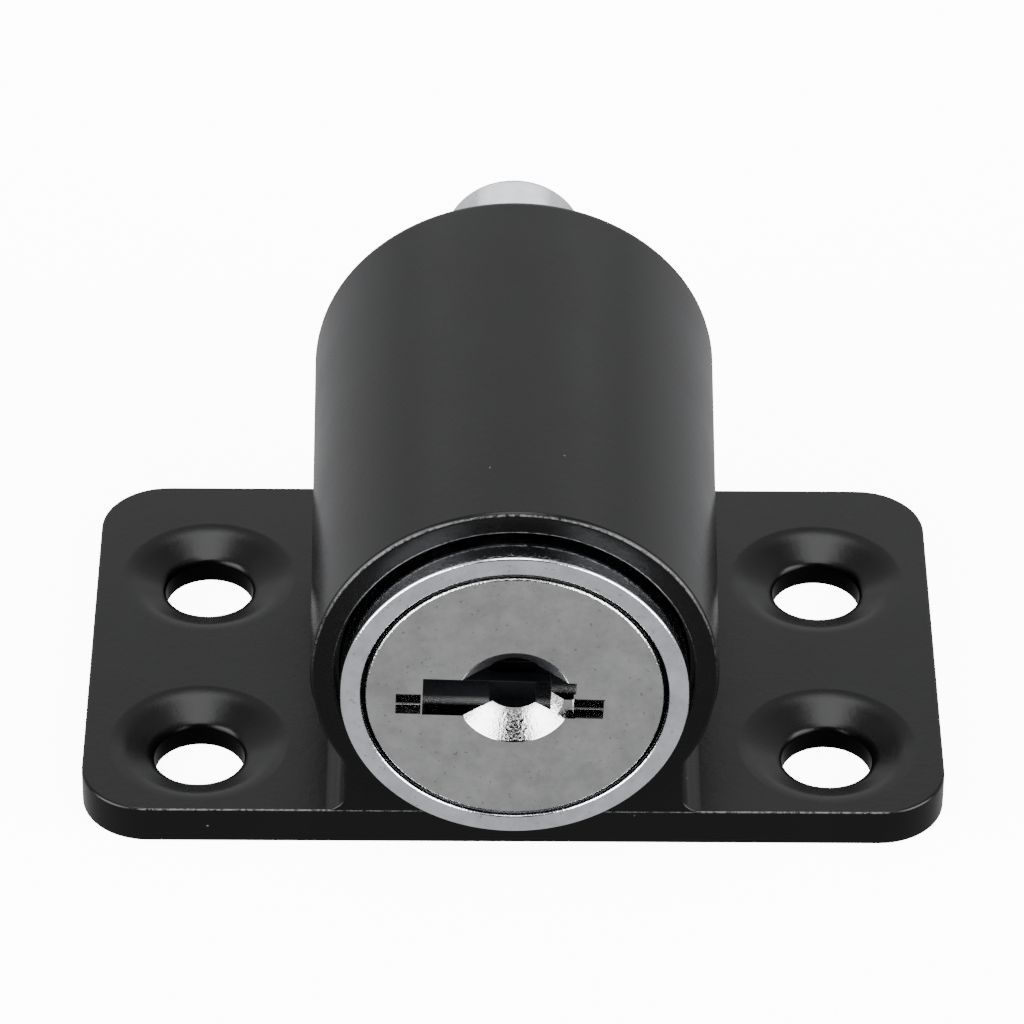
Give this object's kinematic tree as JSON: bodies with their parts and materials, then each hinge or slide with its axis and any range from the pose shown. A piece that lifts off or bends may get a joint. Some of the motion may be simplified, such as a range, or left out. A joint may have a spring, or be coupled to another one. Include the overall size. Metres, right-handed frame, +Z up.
{
  "type": "sliding window lock",
  "caption": "Keyed push lock for a sliding window: black cast housing on a drilled base plate, chromed push barrel with a wafer plug, and a bolt pin.",
  "frame": {"origin": "centre of the base plate's underside, which lies on the window frame", "axes": "+X across the base plate, +Y along the lock's axis from the key side to the bolt, +Z up from the mounting face"},
  "size_m": [0.0432, 0.0396, 0.0206],
  "materials": {
    "black_paint": "satin",
    "barrel_chrome": "satin",
    "plug_chrome": "satin",
    "bolt_chrome": "polished",
    "steel": "satin",
    "spring_steel": "satin",
    "brass": "satin"
  },
  "bodies": {
    "housing": {"housing": "black_paint", "guide_pin": "steel"},
    "barrel": {"barrel": "barrel_chrome", "bolt_pin": "bolt_chrome", "return_spring": "spring_steel", "catch_spring": "spring_steel"},
    "plug": {"plug": "plug_chrome", "plug_clip": "steel", "drive_pin": "steel", "wafer_spring_1": "spring_steel", "wafer_spring_2": "spring_steel", "wafer_spring_3": "spring_steel", "wafer_spring_4": "spring_steel", "wafer_spring_5": "spring_steel"},
    "catch": {"catch": "steel"},
    "wafer_1": {"wafer_1": "brass"},
    "wafer_2": {"wafer_2": "brass"},
    "wafer_3": {"wafer_3": "brass"},
    "wafer_4": {"wafer_4": "brass"},
    "wafer_5": {"wafer_5": "brass"}
  },
  "joints": [
    {"name": "plunger_slide", "type": "slide", "parent": "housing", "child": "barrel", "axis": [0, -1, 0], "range_m": [0, 0.011], "deforming": ["return_spring"]},
    {"name": "plug_turn", "type": "hinge", "parent": "barrel", "child": "plug", "pos_m": [0, 0, 0.0105], "axis": [0, 1, 0], "range_deg": [0, 90]},
    {"name": "catch_slide", "type": "slide", "parent": "barrel", "child": "catch", "axis": [0, 0, -1], "range_m": [0, 0.0013], "deforming": ["catch_spring"]},
    {"name": "wafer_slide_1", "type": "slide", "parent": "plug", "child": "wafer_1", "axis": [0.9996, 0, -0.0288], "range_m": [0, 0.0006], "deforming": ["wafer_spring_1"]},
    {"name": "wafer_slide_2", "type": "slide", "parent": "plug", "child": "wafer_2", "axis": [0.9996, 0, -0.0288], "range_m": [0, 0.0006], "deforming": ["wafer_spring_2"]},
    {"name": "wafer_slide_3", "type": "slide", "parent": "plug", "child": "wafer_3", "axis": [0.9996, 0, -0.0288], "range_m": [0, 0.0006], "deforming": ["wafer_spring_3"]},
    {"name": "wafer_slide_4", "type": "slide", "parent": "plug", "child": "wafer_4", "axis": [0.9996, 0, -0.0288], "range_m": [0, 0.0006], "deforming": ["wafer_spring_4"]},
    {"name": "wafer_slide_5", "type": "slide", "parent": "plug", "child": "wafer_5", "axis": [0.9996, 0, -0.0288], "range_m": [0, 0.0006], "deforming": ["wafer_spring_5"]}
  ],
  "couplings": [
    {"joint": "plug_turn", "follows": "catch_slide", "rad_per_m": 1207.3},
    {"joint": "wafer_slide_2", "follows": "wafer_slide_1", "ratio": 1},
    {"joint": "wafer_slide_3", "follows": "wafer_slide_1", "ratio": 1},
    {"joint": "wafer_slide_4", "follows": "wafer_slide_1", "ratio": 1},
    {"joint": "wafer_slide_5", "follows": "wafer_slide_1", "ratio": 1}
  ]
}
